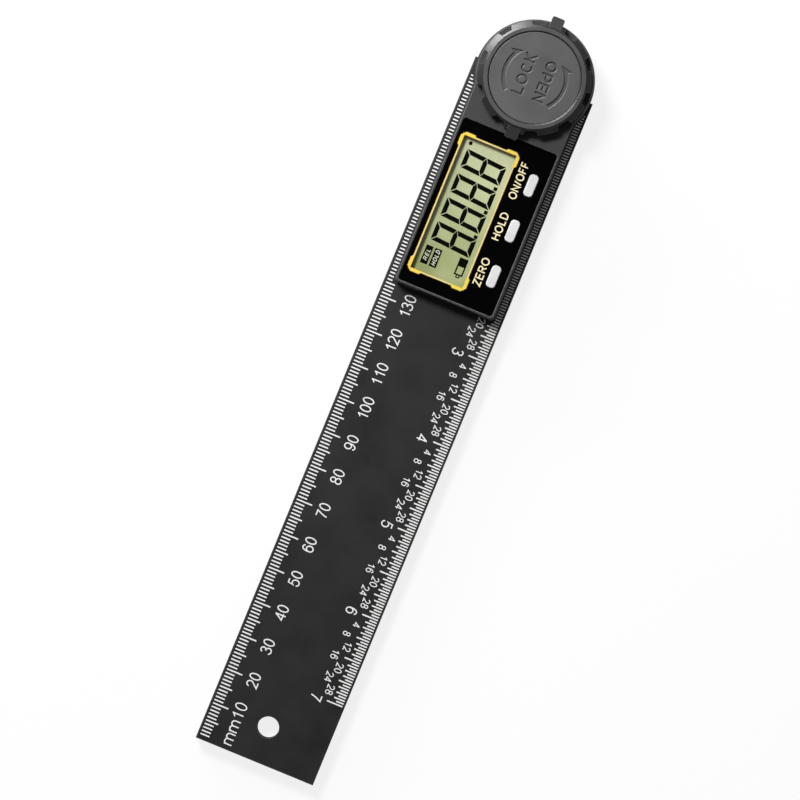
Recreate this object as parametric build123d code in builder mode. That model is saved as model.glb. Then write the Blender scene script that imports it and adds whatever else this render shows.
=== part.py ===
"""Digital angle ruler: two flat arms on one locking pivot, with an angle display on the front arm.

Millimetres. The origin is on the pivot axis at the underside of the back arm, +Y runs along the
ruler towards the knob end, +X towards the inch scale and +Z up. The ruler lies folded shut, with
the front arm on top of the back arm.
"""

import os
from math import cos, hypot, radians, sin, tan

from build123d import *

# Arms
arm_width = 34.5
arm_thickness = 3.2
arm_reach = 200.7  # pivot axis to the square free end
hub_radius = 16.57  # round end of both arms
arm_edge_break = 0.25
hang_hole_radius = 3.0
hang_hole_inset = 10.0  # free end to the hole's centre

# Pivot
shank_radius = 4.0
pivot_play = 0.05  # radial running clearance of the pivot and of the nut's thread
thread_radius = 2.9
bolt_head_flats = 10.4
bolt_head_thickness = 1.6
cover_radius = 8.0
cover_thickness = 0.8
press_gap = 0.05  # radial or side gap round a seated piece
arm_gap = 0.4  # the arms stand this far apart on the friction washer
washer_seat_depth = 0.3
washer_inner_radius = 13.85
washer_outer_radius = 15.95

# Angle sensor
rotor_radius = 12.4
rotor_thickness = 0.8
rotor_boss_radius = 7.6
rotor_screw_circle = 5.9
rotor_screw_count = 3
sensor_gap = 0.5  # rotor to circuit board
rotor_clearance = 1.0  # round the rotor, inside the hub

# Battery, under the display
cell_radius = 10.0
cell_thickness = 3.2
cell_rim_width = 1.1
cell_rim_step = 0.5
cell_y = -43.0
cell_room = 0.3
contact_room = 0.5  # cell to circuit board
contact_sheet = 0.2
contact_width = 4.0
contact_foot = 4.0
contact_reach = 6.0
side_contact_foot = 1.0
battery_cover_thickness = 1.2
battery_cover_radius = 11.4
bayonet_ears = 3
bayonet_reach = 1.0
bayonet_width = 5.0
bayonet_thickness = 0.6
bayonet_turn = 50.0  # degrees from the entry notches to the closed place
coin_slot_length = 13.0
coin_slot_width = 1.8
coin_slot_depth = 0.5

# Circuit board and display stack, from the board up to the rim
board_thickness = 0.8
board_side_gap = 0.4
board_neck_width = 17.0
stator_radius = 13.0
zebra_height = 0.7
zebra_width = 1.7
zebra_end_gap = 1.0  # glass end to connector end
lcd_thickness = 1.0
deck_thickness = 0.8
panel_thickness = 1.0
panel_drop = 0.2  # panel face below the housing's rim
holder_wall = 0.5
lcd_glass_margin = 0.25  # glass beyond the window
lcd_ledge = 1.3  # glass beyond the window on the connector's side
chip_radius = 3.2
chip_height = 0.55
crystal_radius = 0.75
crystal_length = 6.0

# Display housing
housing_width = 28.6  # across the rim
housing_draft = 5.3  # degrees
housing_corner = 1.5
housing_wall = 1.6
rim_width = 0.5
hub_roof_thickness = 2.2
hub_wall_inner_radius = 13.6
stator_seat_radius = 6.5

# Panel, window and frame
panel_top = 16.79  # pivot axis to the panel's upper edge
panel_corner = 0.8
window_width = 15.12
window_length = 38.65
window_inset = 2.08  # panel's left edge to the window
window_drop = 4.54  # panel's upper edge to the window
window_foot = 4.25  # window to the panel's lower edge
window_lap = 0.35  # clear window beyond its opening
frame_bar = 0.6
frame_height = 0.4
frame_bevel = 0.15
frame_corner_overhang = 0.5
frame_corner_length = 4.35
frame_corner_chamfer = 1.25
frame_corner_taper = 0.55

# Buttons and their switches
button_width = 2.65
button_length = 6.3
button_corner = 1.05
button_inset = 3.6  # panel's right edge to the middle of the buttons
first_button_drop = 10.41  # panel's upper edge to the middle of the first button
button_pitch = 13.35
button_play = 0.12
button_proud = 0.5
button_travel = 0.4
button_edge_radius = 0.3
button_flange = 0.6
button_flange_thickness = 0.5
switch_width = 3.4
switch_length = 4.2
switch_body_height = 0.5
switch_plunger_radius = 0.75
switch_free_gap = 0.1  # left between flange and switch at full travel

# Knob
knob_lift = 0.4  # skirt above the housing
knob_height = 4.8
knob_radius = 15.6
knob_band = 3.3  # upright band below the sloping edge
knob_rim_radius = 13.85
knob_face_radius = 12.5
knob_face_drop = 0.4
knob_ring_slope = 0.35  # the ring's inner edge leans in by this
knob_web = 1.0
knob_wall = 1.6
knob_boss_radius = 8.2
knob_teeth = 10
notch_floor_radius = 14.45
notch_inner_half_angle = 6.2
notch_outer_half_angle = 8.5
notch_reach = 0.9  # the notches are cut this far past the skirt
lug_root = 14.1  # pivot axis to the lug's inner end, inside the skirt's wall
lug_radius = 17.6
lug_width = 3.5
lug_root_height = 4.42
lug_end_height = 2.95
lug_corner = 0.5
cap_thickness = 1.1
cap_gap = 0.06
nut_flats = 10.0
nut_thickness = 3.0
spring_radius = 8.2
spring_rise = 0.7
spring_sheet = 0.4
spring_seat_depth = 1.0
knob_washer_thickness = 0.6

# Lettering cut in the knob cap
engraving_depth = 0.5
letter_height = 3.2
letter_stroke = 0.58
letter_gap = 0.5
letter_widths = {"L": 0.7, "O": 0.92, "C": 0.82, "K": 0.78, "P": 0.74, "E": 0.7, "N": 0.8}  # of the height
letter_c_opening = 45.0  # degrees each side of the gap in the C
letter_k_joint = 0.25  # where the legs of the K meet, of its width
letter_offset = 3.05  # pivot axis to the middle of each word
arrow_radius = 8.48
arrow_band = 1.1
arrow_low_angle = 44.0  # degrees below the cross axis
arrow_tip_angle = 47.0  # degrees above it
arrow_barb_angle = 29.5
arrow_barb = 1.4

# Screws
housing_screw_radius = 0.8
housing_screw_head_radius = 1.5
housing_screw_sink = 0.1
housing_screw_bite = 3.4
housing_boss_radius = 1.6
hub_screw_circle = 15.0
hub_screw_angles = (30.0, 90.0, 150.0)
board_screw_radius = 0.6
board_screw_head_radius = 1.1
board_screw_head_height = 0.6
board_screw_bite = 1.2
board_boss_radius = 1.3
rotor_screw_radius = 0.6
rotor_screw_head_radius = 1.1
rotor_screw_bite = 2.6

# Heights, worked out from the pieces in their order from the floor up
front_z = arm_thickness + arm_gap
blade_z = front_z + arm_thickness
cell_z = front_z + battery_cover_thickness
board_under_z = cell_z + cell_thickness + contact_room
board_z = board_under_z + board_thickness
lcd_z = board_z + zebra_height
deck_under_z = lcd_z + lcd_thickness
deck_z = deck_under_z + deck_thickness
panel_z = deck_z + panel_thickness
rim_z = panel_z + panel_drop
roof_under_z = rim_z - hub_roof_thickness
spring_z = rim_z - spring_seat_depth
knob_washer_z = spring_z + spring_rise
boss_z = knob_washer_z + knob_washer_thickness
rotor_z = board_under_z - sensor_gap - rotor_thickness
knob_z = rim_z + knob_lift
knob_top_z = knob_z + knob_height
cap_z = knob_top_z - knob_face_drop - cap_thickness
web_under_z = cap_z - knob_web
bolt_head_z = cover_thickness
shank_z = bolt_head_z + bolt_head_thickness

# Outlines that several pieces share
recess_width = housing_width - 2 * rim_width
panel_width = recess_width - 2 * press_gap
panel_length = window_drop + window_length + window_foot
panel_end = panel_top + panel_length
panel_y = -(panel_top + panel_end) / 2
window_x = window_inset + (window_width - panel_width) / 2
window_y = -(panel_top + window_drop + window_length / 2)
housing_end = panel_end + press_gap + rim_width
housing_height = rim_z - blade_z
housing_flare = housing_height * tan(radians(housing_draft))
foot_width = housing_width + 2 * housing_flare
foot_end = housing_end + housing_flare
cavity_width = housing_width - 2 * housing_wall
cavity_end = housing_end - housing_wall
rotor_hole_radius = rotor_radius + rotor_clearance
button_x = panel_width / 2 - button_inset
first_button_y = -(panel_top + first_button_drop)
button_names = ("on_off", "hold", "zero")
button_places = [(button_x, first_button_y - i * button_pitch) for i in range(len(button_names))]
slot_length = button_length + 2 * button_play
slot_width = button_width + 2 * button_play
slot_corner = button_corner + button_play
flange_z = deck_under_z - button_flange_thickness

# Screw places
hub_screw_places = [
    (hub_screw_circle * cos(radians(a)), hub_screw_circle * sin(radians(a)))
    for a in hub_screw_angles
]
upper_boss_x = board_neck_width / 2 + board_side_gap + housing_boss_radius
upper_boss_y = -(panel_top + housing_boss_radius / 2)
lower_boss_x = (cavity_width - housing_boss_radius) / 2
lower_boss_y = -(cavity_end - housing_boss_radius / 2)
housing_screw_places = hub_screw_places + [
    (upper_boss_x, upper_boss_y),
    (-upper_boss_x, upper_boss_y),
    (lower_boss_x, lower_boss_y),
    (-lower_boss_x, lower_boss_y),
]
neck_screw_x = board_neck_width / 2 - board_boss_radius
neck_screw_y = -(panel_top + board_boss_radius / 2)
side_screw_x = cavity_width / 2 - board_boss_radius - board_side_gap
board_screw_places = [
    (neck_screw_x, neck_screw_y),
    (-neck_screw_x, neck_screw_y),
    (side_screw_x, first_button_y - button_pitch / 2),
    (side_screw_x, first_button_y - 3 * button_pitch / 2),
]

# The LCD glass reaches past the window, further on the side of its connector
glass_left = window_x - window_width / 2 - lcd_glass_margin
glass_right = window_x + window_width / 2 + lcd_ledge
glass_top = window_y + window_length / 2 + lcd_glass_margin
glass_bottom = window_y - window_length / 2 - lcd_glass_margin
glass_x = (glass_left + glass_right) / 2
glass_y = (glass_top + glass_bottom) / 2
glass_width = glass_right - glass_left
glass_length = glass_top - glass_bottom
zebra_x = glass_right - zebra_width / 2 - holder_wall
zebra_length = glass_length - 2 * zebra_end_gap
board_top = upper_boss_y - housing_boss_radius - board_side_gap
board_bottom = lower_boss_y + housing_boss_radius + board_side_gap
board_width = cavity_width - 2 * board_side_gap


def finish(built, label):
    """Name a finished piece and write it out."""
    built.part.label = label
    export_step(built.part, f"parts/{label}.step")


def arm_outline():
    """The flat outline of either arm, in the sketch that is open."""
    with Locations((0, -arm_reach / 2)):
        Rectangle(arm_width, arm_reach)
    Circle(hub_radius)


def countersunk_section(x, y, z, radius, head_radius, length, direction):
    """Half section of a countersunk screw, head face at height z, pointing up (1) or down (-1)."""
    neck_z = z + direction * (head_radius - radius)
    tip_z = z + direction * length
    with BuildSketch(Plane((x, y, 0), x_dir=(1, 0, 0), z_dir=(0, -1, 0))) as section:
        with BuildLine():
            Polyline(
                (0, z),
                (head_radius, z),
                (radius, neck_z),
                (radius, tip_z - direction * radius / 2),
                (0, tip_z),
                close=True,
            )
        make_face()
    return section.sketch


def letter_strokes(name, left, wide):
    """The straight strokes of one engraved capital, along the middle of each stroke."""
    half = letter_stroke / 2
    low = half
    high = letter_height - half
    middle = letter_height / 2
    stem_x = left + half
    edge_x = left + wide
    right_x = edge_x - half
    stem = ((stem_x, 0), (stem_x, letter_height))
    return {
        "L": [((stem_x, letter_height), (stem_x, low), (edge_x, low))],
        "K": [
            stem,
            ((stem_x, middle - half), (right_x, letter_height)),
            ((stem_x + wide * letter_k_joint, middle), (right_x, 0)),
        ],
        "P": [
            stem,
            (
                (stem_x, high),
                (right_x - letter_stroke, high),
                (right_x, high - letter_stroke),
                (right_x, middle + half),
                (right_x - letter_stroke, middle - half),
                (stem_x, middle - half),
            ),
        ],
        "E": [
            ((edge_x, high), (stem_x, high), (stem_x, low), (edge_x, low)),
            ((stem_x, middle), (right_x, middle)),
        ],
        "N": [stem, ((stem_x, high), (right_x, low)), ((right_x, 0), (right_x, letter_height))],
    }[name]


def word(text):
    """A stroked word reading along +X, centred on the origin."""
    left = 0
    with BuildSketch() as letters:
        for name in text:
            wide = letter_height * letter_widths[name]
            if name in "OC":
                gap = letter_c_opening if name == "C" else 0
                with BuildLine():
                    EllipticalCenterArc(
                        (left + wide / 2, letter_height / 2),
                        (wide - letter_stroke) / 2,
                        (letter_height - letter_stroke) / 2,
                        start_angle=gap,
                        arc_size=360 - 2 * gap,
                    )
                trace(line_width=letter_stroke)
            else:
                for stroke in letter_strokes(name, left, wide):
                    with BuildLine():
                        Polyline(*stroke)
                    trace(line_width=letter_stroke)
            left += wide + letter_gap
    middle = letters.sketch.bounding_box().center()
    return Pos(-middle.X, -middle.Y) * letters.sketch


def polar(radius, angle):
    """The flat point at a radius and an angle in degrees from +X."""
    return (radius * cos(radians(angle)), radius * sin(radians(angle)))


def turning_arrow():
    """An arrow band on the +X side of the cap, its head at the upper end with one barb outward."""
    inner = arrow_radius - arrow_band / 2
    outer = arrow_radius + arrow_band / 2
    with BuildSketch() as arrow:
        with BuildLine():
            ThreePointArc(polar(inner, -arrow_low_angle), polar(inner, 0), polar(inner, arrow_tip_angle))
            Polyline(
                polar(inner, arrow_tip_angle),
                polar(outer + arrow_barb, arrow_barb_angle),
                polar(outer, arrow_barb_angle),
            )
            ThreePointArc(polar(outer, arrow_barb_angle), polar(outer, 0), polar(outer, -arrow_low_angle))
            Line(polar(outer, -arrow_low_angle), polar(inner, -arrow_low_angle))
        make_face()
    return arrow.sketch


os.makedirs("parts", exist_ok=True)

# Back arm: the blade that lies underneath, with the boss that carries the rotor
with BuildPart() as back_arm:
    with BuildSketch():
        arm_outline()
    extrude(amount=arm_thickness)
    rims = back_arm.faces().filter_by(Axis.Z).edges()
    chamfer(rims, arm_edge_break)
    with BuildSketch(Plane.XY.offset(arm_thickness - washer_seat_depth)):
        Circle(washer_outer_radius + press_gap)
        Circle(washer_inner_radius - press_gap, mode=Mode.SUBTRACT)
    extrude(amount=washer_seat_depth, mode=Mode.SUBTRACT)
    with BuildSketch(Plane.XY.offset(arm_thickness)):
        Circle(rotor_boss_radius)
    extrude(amount=rotor_z - arm_thickness)
    with BuildSketch():
        Circle(cover_radius + press_gap)
    extrude(amount=cover_thickness, mode=Mode.SUBTRACT)
    with BuildSketch(Plane.XY.offset(bolt_head_z)):
        RegularPolygon(bolt_head_flats / 2 + press_gap, 6, major_radius=False)
    extrude(amount=bolt_head_thickness, mode=Mode.SUBTRACT)
    with BuildSketch(Plane.XY.offset(shank_z)):
        Circle(shank_radius + press_gap)
    extrude(amount=rotor_z - shank_z, mode=Mode.SUBTRACT)
    with BuildSketch(Plane.XY.offset(rotor_z)):
        with PolarLocations(rotor_screw_circle, rotor_screw_count):
            Circle(rotor_screw_radius)
    extrude(amount=-rotor_screw_bite, mode=Mode.SUBTRACT)
    with BuildSketch():
        with Locations((0, hang_hole_inset - arm_reach)):
            Circle(hang_hole_radius)
    extrude(amount=arm_thickness, mode=Mode.SUBTRACT)
finish(back_arm, "back_arm")

# Pivot cover: the disc that closes the bolt's recess, flush with the underside
with BuildPart() as pivot_cover:
    with BuildSketch():
        Circle(cover_radius)
    extrude(amount=cover_thickness)
finish(pivot_cover, "pivot_cover")

# Pivot bolt: hexagon head held in the back arm, a plain shank and a thread for the knob's nut
bolt_top_z = boss_z + nut_thickness
with BuildPart() as pivot_bolt:
    with BuildSketch(Plane.XY.offset(bolt_head_z)):
        RegularPolygon(bolt_head_flats / 2, 6, major_radius=False)
    extrude(amount=bolt_head_thickness)
    with BuildSketch(Plane.XY.offset(shank_z)):
        Circle(shank_radius)
    extrude(amount=spring_z - pivot_play - shank_z)
    with BuildSketch(Plane.XY.offset(spring_z - pivot_play)):
        Circle(thread_radius)
    extrude(amount=bolt_top_z - spring_z)
    chamfer(pivot_bolt.faces().sort_by(Axis.Z)[-1].edges(), 2 * arm_edge_break)
finish(pivot_bolt, "pivot_bolt")

# Friction washer: the ring that the two arms turn on
with BuildPart() as friction_washer:
    with BuildSketch(Plane.XY.offset(arm_thickness - washer_seat_depth)):
        Circle(washer_outer_radius)
        Circle(washer_inner_radius, mode=Mode.SUBTRACT)
    extrude(amount=washer_seat_depth + arm_gap)
finish(friction_washer, "friction_washer")

# Encoder rotor: a thin disc screwed on the back arm's boss
with BuildPart() as encoder_rotor:
    with BuildSketch(Plane.XY.offset(rotor_z)):
        Circle(rotor_radius)
        Circle(shank_radius + press_gap, mode=Mode.SUBTRACT)
    extrude(amount=rotor_thickness)
    with Locations((0, 0, rotor_z + rotor_thickness)):
        with PolarLocations(rotor_screw_circle, rotor_screw_count):
            CounterSinkHole(rotor_screw_radius, rotor_screw_head_radius)
finish(encoder_rotor, "encoder_rotor")

# Rotor screws: countersunk heads flush with the rotor's face
rotor_face_z = rotor_z + rotor_thickness
rotor_screw_length = rotor_screw_bite + rotor_thickness
with BuildPart() as rotor_screws:
    for spot in PolarLocations(rotor_screw_circle, rotor_screw_count):
        x, y, _ = spot.position
        section = countersunk_section(
            x, y, rotor_face_z, rotor_screw_radius, rotor_screw_head_radius, rotor_screw_length, -1
        )
        revolve(section, axis=Axis((x, y, 0), (0, 0, 1)))
finish(rotor_screws, "rotor_screws")

# Front arm: the upper blade, open round the rotor and under the coin cell
ear_z = cell_z - bayonet_thickness
groove_height = bayonet_thickness + press_gap
ear_corner_radius = hypot(battery_cover_radius + bayonet_reach, bayonet_width / 2)
screw_head_z = front_z + housing_screw_sink
side_contact_x = cell_radius + press_gap
with BuildPart() as front_arm:
    with BuildSketch(Plane.XY.offset(front_z)):
        arm_outline()
    extrude(amount=arm_thickness)
    rims = front_arm.faces().filter_by(Axis.Z).edges()
    chamfer(rims, arm_edge_break)
    with BuildSketch(Plane.XY.offset(front_z)):
        Circle(rotor_hole_radius)
        with Locations((0, hang_hole_inset - arm_reach)):
            Circle(hang_hole_radius)
        with Locations((0, cell_y)):
            Circle(cell_radius + cell_room)
            with Locations((side_contact_x, 0)):
                Rectangle(2 * (contact_sheet + cell_room), contact_width + 2 * cell_room)
    extrude(amount=arm_thickness, mode=Mode.SUBTRACT)
    with BuildSketch(Plane.XY.offset(front_z)):
        with Locations((0, cell_y)):
            Circle(battery_cover_radius + press_gap)
            with PolarLocations(battery_cover_radius, bayonet_ears, start_angle=bayonet_turn):
                Rectangle(2 * (bayonet_reach + press_gap), bayonet_width + 2 * press_gap)
    extrude(amount=battery_cover_thickness, mode=Mode.SUBTRACT)
    with BuildSketch(Plane.XY.offset(ear_z - press_gap)):
        with Locations((0, cell_y)):
            Circle(ear_corner_radius + press_gap)
    extrude(amount=groove_height, mode=Mode.SUBTRACT)
    with BuildSketch(Plane.XY.offset(front_z)):
        with Locations(*housing_screw_places):
            Circle(housing_screw_radius + press_gap)
    extrude(amount=arm_thickness, mode=Mode.SUBTRACT)
    with BuildSketch(Plane.XY.offset(front_z)):
        with Locations(*housing_screw_places):
            Circle(housing_screw_head_radius + press_gap)
    extrude(amount=housing_screw_sink, mode=Mode.SUBTRACT)
    for x, y in housing_screw_places:
        section = countersunk_section(
            x,
            y,
            screw_head_z,
            housing_screw_radius + press_gap,
            housing_screw_head_radius + press_gap,
            arm_thickness / 2,
            1,
        )
        revolve(section, axis=Axis((x, y, 0), (0, 0, 1)), mode=Mode.SUBTRACT)
finish(front_arm, "front_arm")

# Housing screws: from below, through the front arm into the housing
housing_screw_length = blade_z - screw_head_z + housing_screw_bite
with BuildPart() as housing_screws:
    for x, y in housing_screw_places:
        section = countersunk_section(
            x, y, screw_head_z, housing_screw_radius, housing_screw_head_radius, housing_screw_length, 1
        )
        revolve(section, axis=Axis((x, y, 0), (0, 0, 1)))
finish(housing_screws, "housing_screws")

# Battery cover: a bayonet lid with a coin slot, flush with the front arm's underside
with BuildPart() as battery_cover:
    with BuildSketch(Plane.XY.offset(front_z)):
        with Locations((0, cell_y)):
            Circle(battery_cover_radius)
    extrude(amount=battery_cover_thickness)
    with BuildSketch(Plane.XY.offset(ear_z)):
        with Locations((0, cell_y)):
            with PolarLocations(battery_cover_radius, bayonet_ears):
                Rectangle(2 * bayonet_reach, bayonet_width)
    extrude(amount=bayonet_thickness)
    with BuildSketch(Plane.XY.offset(front_z)):
        with Locations((0, cell_y)):
            SlotOverall(coin_slot_length, coin_slot_width)
    extrude(amount=coin_slot_depth, mode=Mode.SUBTRACT)
finish(battery_cover, "battery_cover")

# Coin cell: a flat can with the smaller cap on top
with BuildPart() as coin_cell:
    with BuildSketch(Plane.XY.offset(cell_z)):
        with Locations((0, cell_y)):
            Circle(cell_radius)
    extrude(amount=cell_thickness - cell_rim_step)
    with BuildSketch(Plane.XY.offset(cell_z + cell_thickness - cell_rim_step)):
        with Locations((0, cell_y)):
            Circle(cell_radius - cell_rim_width)
    extrude(amount=cell_rim_step)
finish(coin_cell, "coin_cell")

# Battery top contact: a foot soldered under the board and a tongue bent down to the cell
cell_top_z = cell_z + cell_thickness
with BuildPart() as battery_top_contact:
    with BuildSketch(Plane.YZ):
        with BuildLine():
            Polyline(
                (cell_y, board_under_z),
                (cell_y + contact_foot, board_under_z),
                (cell_y + contact_foot, board_under_z - contact_sheet),
                (cell_y + contact_sheet, board_under_z - contact_sheet),
                (cell_y - contact_reach + contact_sheet, cell_top_z),
                (cell_y - contact_reach - contact_sheet, cell_top_z),
                (cell_y - contact_reach - contact_sheet, cell_top_z + contact_sheet),
                (cell_y - contact_reach + contact_sheet, cell_top_z + contact_sheet),
                close=True,
            )
        make_face()
    extrude(amount=contact_width / 2, both=True)
finish(battery_top_contact, "battery_top_contact")

# Battery side contact: an angle whose upright blade rests on the can's rim
with BuildPart() as battery_side_contact:
    with BuildSketch(Plane.XZ.offset(-cell_y)):
        with BuildLine():
            Polyline(
                (side_contact_x, cell_z + cell_rim_step),
                (side_contact_x + contact_sheet, cell_z + cell_rim_step),
                (side_contact_x + contact_sheet, board_under_z - contact_sheet),
                (side_contact_x + side_contact_foot, board_under_z - contact_sheet),
                (side_contact_x + side_contact_foot, board_under_z),
                (side_contact_x, board_under_z),
                close=True,
            )
        make_face()
    extrude(amount=contact_width / 2, both=True)
finish(battery_side_contact, "battery_side_contact")

# Main circuit board: a rectangle under the display, a neck and the round stator at the pivot
with BuildPart() as main_board:
    with BuildSketch(Plane.XY.offset(board_under_z)):
        with Locations((0, (board_top + board_bottom) / 2)):
            Rectangle(board_width, board_top - board_bottom)
        with Locations((0, board_top / 2)):
            Rectangle(board_neck_width, -board_top)
        Circle(stator_radius)
        Circle(shank_radius + rotor_clearance, mode=Mode.SUBTRACT)
        with Locations(*board_screw_places):
            Circle(board_screw_radius + press_gap, mode=Mode.SUBTRACT)
    extrude(amount=board_thickness)
finish(main_board, "main_board")

# Board screws: from below, into the housing's bosses
with BuildPart() as board_screws:
    with BuildSketch(Plane.XY.offset(board_under_z - board_screw_head_height)):
        with Locations(*board_screw_places):
            Circle(board_screw_head_radius)
    extrude(amount=board_screw_head_height)
    with BuildSketch(Plane.XY.offset(board_under_z)):
        with Locations(*board_screw_places):
            Circle(board_screw_radius)
    extrude(amount=board_thickness + board_screw_bite)
finish(board_screws, "board_screws")

# Controller: a chip under a low dome of resin, on the board under the glass
chip_dome_radius = (chip_radius**2 + chip_height**2) / (2 * chip_height)
chip_place = (glass_x, (glass_top + window_y) / 2, 0)
with BuildPart() as controller_chip:
    with BuildSketch(Plane(chip_place, x_dir=(1, 0, 0), z_dir=(0, -1, 0))):
        with BuildLine():
            foot = Line((0, board_z), (chip_radius, board_z))
            crown = RadiusArc(foot @ 1, (0, board_z + chip_height), -chip_dome_radius)
            Line(crown @ 1, foot @ 0)
        make_face()
    revolve(axis=Axis(chip_place, (0, 0, 1)))
finish(controller_chip, "controller_chip")

# Quartz crystal: a small can lying under the board
crystal_y = upper_boss_y - housing_boss_radius - 2 * crystal_radius
with BuildPart() as quartz_crystal:
    with BuildSketch(Plane.YZ.offset(-crystal_length / 2)):
        with Locations((crystal_y, board_under_z - crystal_radius)):
            Circle(crystal_radius)
    extrude(amount=crystal_length)
    chamfer(quartz_crystal.faces().sort_by(Axis.X)[-1].edges(), arm_edge_break)
finish(quartz_crystal, "quartz_crystal")

# LCD holder: a frame on the board with a pocket for the glass and a slot for the connector
with BuildPart() as lcd_holder:
    with BuildSketch(Plane.XY.offset(board_z)):
        with Locations((glass_x, glass_y)):
            Rectangle(glass_width + 2 * holder_wall, glass_length + 2 * holder_wall)
    extrude(amount=deck_under_z - board_z)
    with BuildSketch(Plane.XY.offset(lcd_z)):
        with Locations((glass_x, glass_y)):
            Rectangle(glass_width + 2 * press_gap, glass_length + 2 * press_gap)
    extrude(amount=lcd_thickness, mode=Mode.SUBTRACT)
    floor_right = zebra_x - zebra_width / 2 - holder_wall
    floor_left = glass_left + 2 * holder_wall
    with BuildSketch(Plane.XY.offset(board_z)):
        with Locations((zebra_x, glass_y)):
            Rectangle(zebra_width + 2 * press_gap, zebra_length + 2 * press_gap)
        with Locations(((floor_left + floor_right) / 2, glass_y)):
            Rectangle(floor_right - floor_left, zebra_length)
    extrude(amount=zebra_height, mode=Mode.SUBTRACT)
finish(lcd_holder, "lcd_holder")

# Zebra connector: the rubber strip that joins the glass to the board
with BuildPart() as zebra_connector:
    with BuildSketch(Plane.XY.offset(board_z)):
        with Locations((zebra_x, glass_y)):
            Rectangle(zebra_width, zebra_length)
    extrude(amount=zebra_height)
finish(zebra_connector, "zebra_connector")

# LCD glass
with BuildPart() as lcd_glass:
    with BuildSketch(Plane.XY.offset(lcd_z)):
        with Locations((glass_x, glass_y)):
            Rectangle(glass_width, glass_length)
    extrude(amount=lcd_thickness)
finish(lcd_glass, "lcd_glass")

# Display housing: the grey shell over the electronics, with the shoulder and the hub's roof
with BuildPart() as display_housing:
    with BuildSketch(Plane.XY.offset(blade_z)):
        with Locations((0, -foot_end / 2)):
            RectangleRounded(foot_width, foot_end, housing_corner)
    extrude(amount=housing_height, taper=housing_draft)
    with BuildSketch(Plane.XY.offset(blade_z)):
        Circle(hub_radius)
    extrude(amount=housing_height, taper=housing_draft)
    with BuildSketch(Plane.XY.offset(blade_z)):
        with Locations((0, -(panel_top + cavity_end) / 2)):
            RectangleRounded(cavity_width, cavity_end - panel_top, panel_corner)
    extrude(amount=deck_under_z - blade_z, mode=Mode.SUBTRACT)
    with BuildSketch(Plane.XY.offset(blade_z)):
        Circle(hub_wall_inner_radius)
        with Locations((0, upper_boss_y / 2)):
            Rectangle(board_neck_width + 2 * board_side_gap, -upper_boss_y)
    extrude(amount=roof_under_z - blade_z, mode=Mode.SUBTRACT)
    with BuildSketch(Plane.XY.offset(blade_z)):
        with Locations(*housing_screw_places[len(hub_screw_places):]):
            Circle(housing_boss_radius)
    extrude(amount=deck_z - blade_z)
    with BuildSketch(Plane.XY.offset(board_z)):
        Circle(stator_seat_radius)
        with Locations(*board_screw_places):
            Circle(board_boss_radius)
    extrude(amount=deck_z - board_z)
    with BuildSketch(Plane.XY.offset(deck_z)):
        with Locations((0, panel_y)):
            RectangleRounded(recess_width, panel_length + 2 * press_gap, panel_corner + press_gap)
    extrude(amount=rim_z - deck_z, mode=Mode.SUBTRACT)
    with BuildSketch(Plane.XY.offset(deck_under_z)):
        with Locations((window_x, window_y)):
            Rectangle(window_width, window_length)
        with Locations(*button_places):
            RectangleRounded(slot_width, slot_length, slot_corner)
    extrude(amount=deck_thickness, mode=Mode.SUBTRACT)
    with BuildSketch(Plane.XY.offset(spring_z)):
        Circle(spring_radius + rotor_clearance / 2)
    extrude(amount=spring_seat_depth, mode=Mode.SUBTRACT)
    with BuildSketch(Plane.XY.offset(board_z)):
        Circle(shank_radius + pivot_play)
    extrude(amount=rim_z - board_z, mode=Mode.SUBTRACT)
    with BuildSketch(Plane.XY.offset(board_z)):
        with Locations(*board_screw_places):
            Circle(board_screw_radius)
    extrude(amount=board_screw_bite, mode=Mode.SUBTRACT)
    with BuildSketch(Plane.XY.offset(blade_z)):
        with Locations(*housing_screw_places):
            Circle(housing_screw_radius)
    extrude(amount=housing_screw_bite + housing_screw_radius, mode=Mode.SUBTRACT)
finish(display_housing, "display_housing")

# Front panel: the gloss black plate, open for the window and the buttons
with BuildPart() as front_panel:
    with BuildSketch(Plane.XY.offset(deck_z)):
        with Locations((0, panel_y)):
            RectangleRounded(panel_width, panel_length, panel_corner)
        with Locations((window_x, window_y)):
            Rectangle(
                window_width + 2 * (window_lap + press_gap),
                window_length + 2 * (window_lap + press_gap),
                mode=Mode.SUBTRACT,
            )
        with Locations(*button_places):
            RectangleRounded(slot_width, slot_length, slot_corner, mode=Mode.SUBTRACT)
    extrude(amount=panel_thickness)
finish(front_panel, "front_panel")

# Display window: the clear plate, resting on the deck round its opening
with BuildPart() as display_window:
    with BuildSketch(Plane.XY.offset(deck_z)):
        with Locations((window_x, window_y)):
            Rectangle(window_width + 2 * window_lap, window_length + 2 * window_lap)
    extrude(amount=panel_thickness)
finish(display_window, "display_window")

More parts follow.
